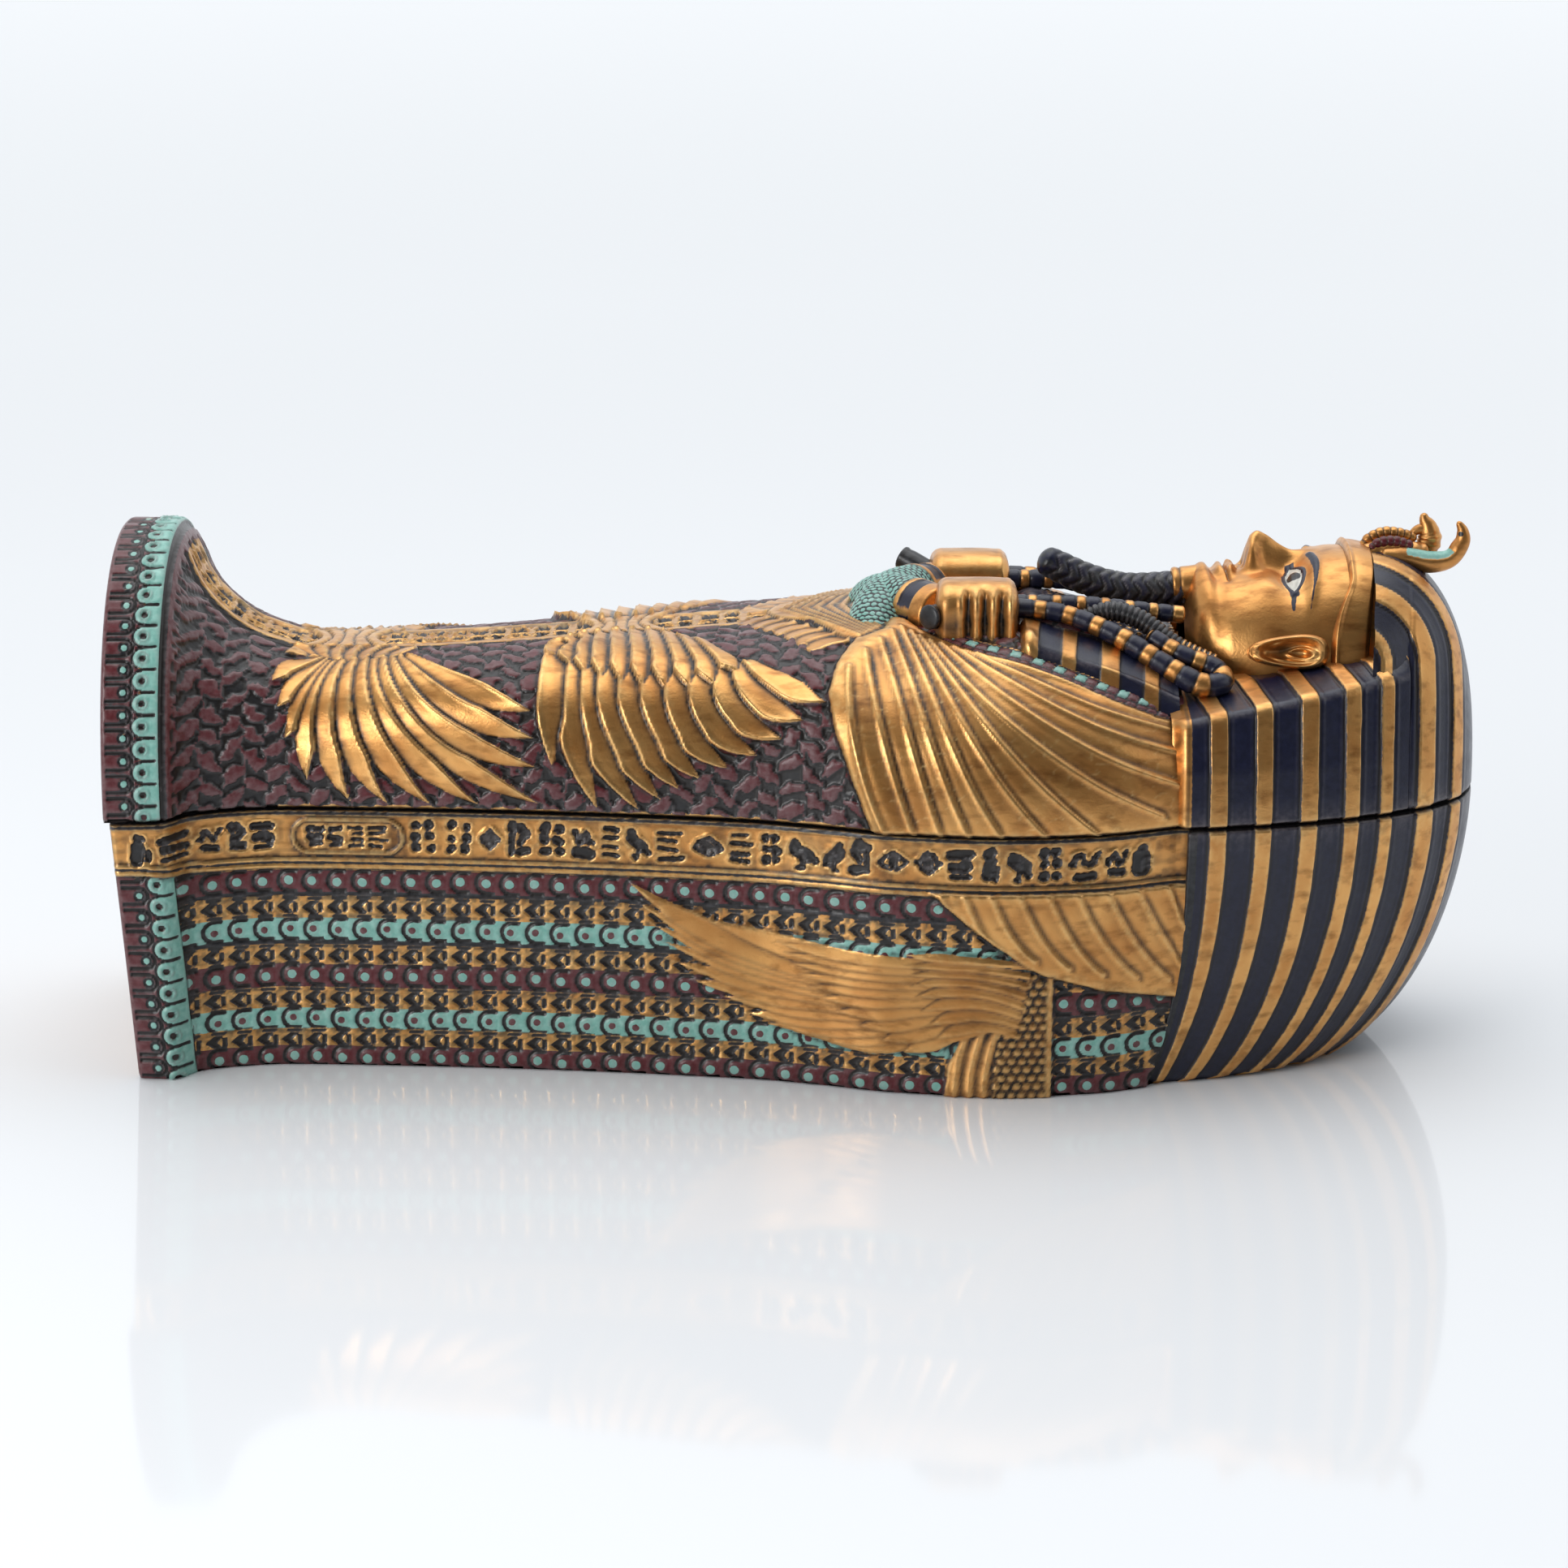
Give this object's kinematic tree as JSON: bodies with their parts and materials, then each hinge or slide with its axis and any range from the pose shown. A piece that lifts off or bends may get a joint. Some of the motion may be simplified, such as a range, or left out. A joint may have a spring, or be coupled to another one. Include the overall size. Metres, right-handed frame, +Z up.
{
  "type": "souvenir Egyptian coffin box",
  "caption": "Painted cast-resin souvenir box shaped as a lying Egyptian royal coffin: an open base and a lift-off lid with the crowned figure.",
  "frame": {"origin": "on the ground under the middle of the box, at the bottom centre of its bounding box", "axes": "+X from the feet to the crown of the head, +Z up through the lid, +Y to the figure's right"},
  "size_m": [0.2318, 0.0846, 0.0912],
  "materials": {
    "base": "painted cast resin: antique gold, burgundy, turquoise and dark blue with a black wash in the recesses",
    "lid": "painted cast resin: antique gold, burgundy, turquoise and dark blue with a black wash in the recesses"
  },
  "bodies": {
    "root": {"base": "base", "lid": "lid"}
  },
  "joints": []
}
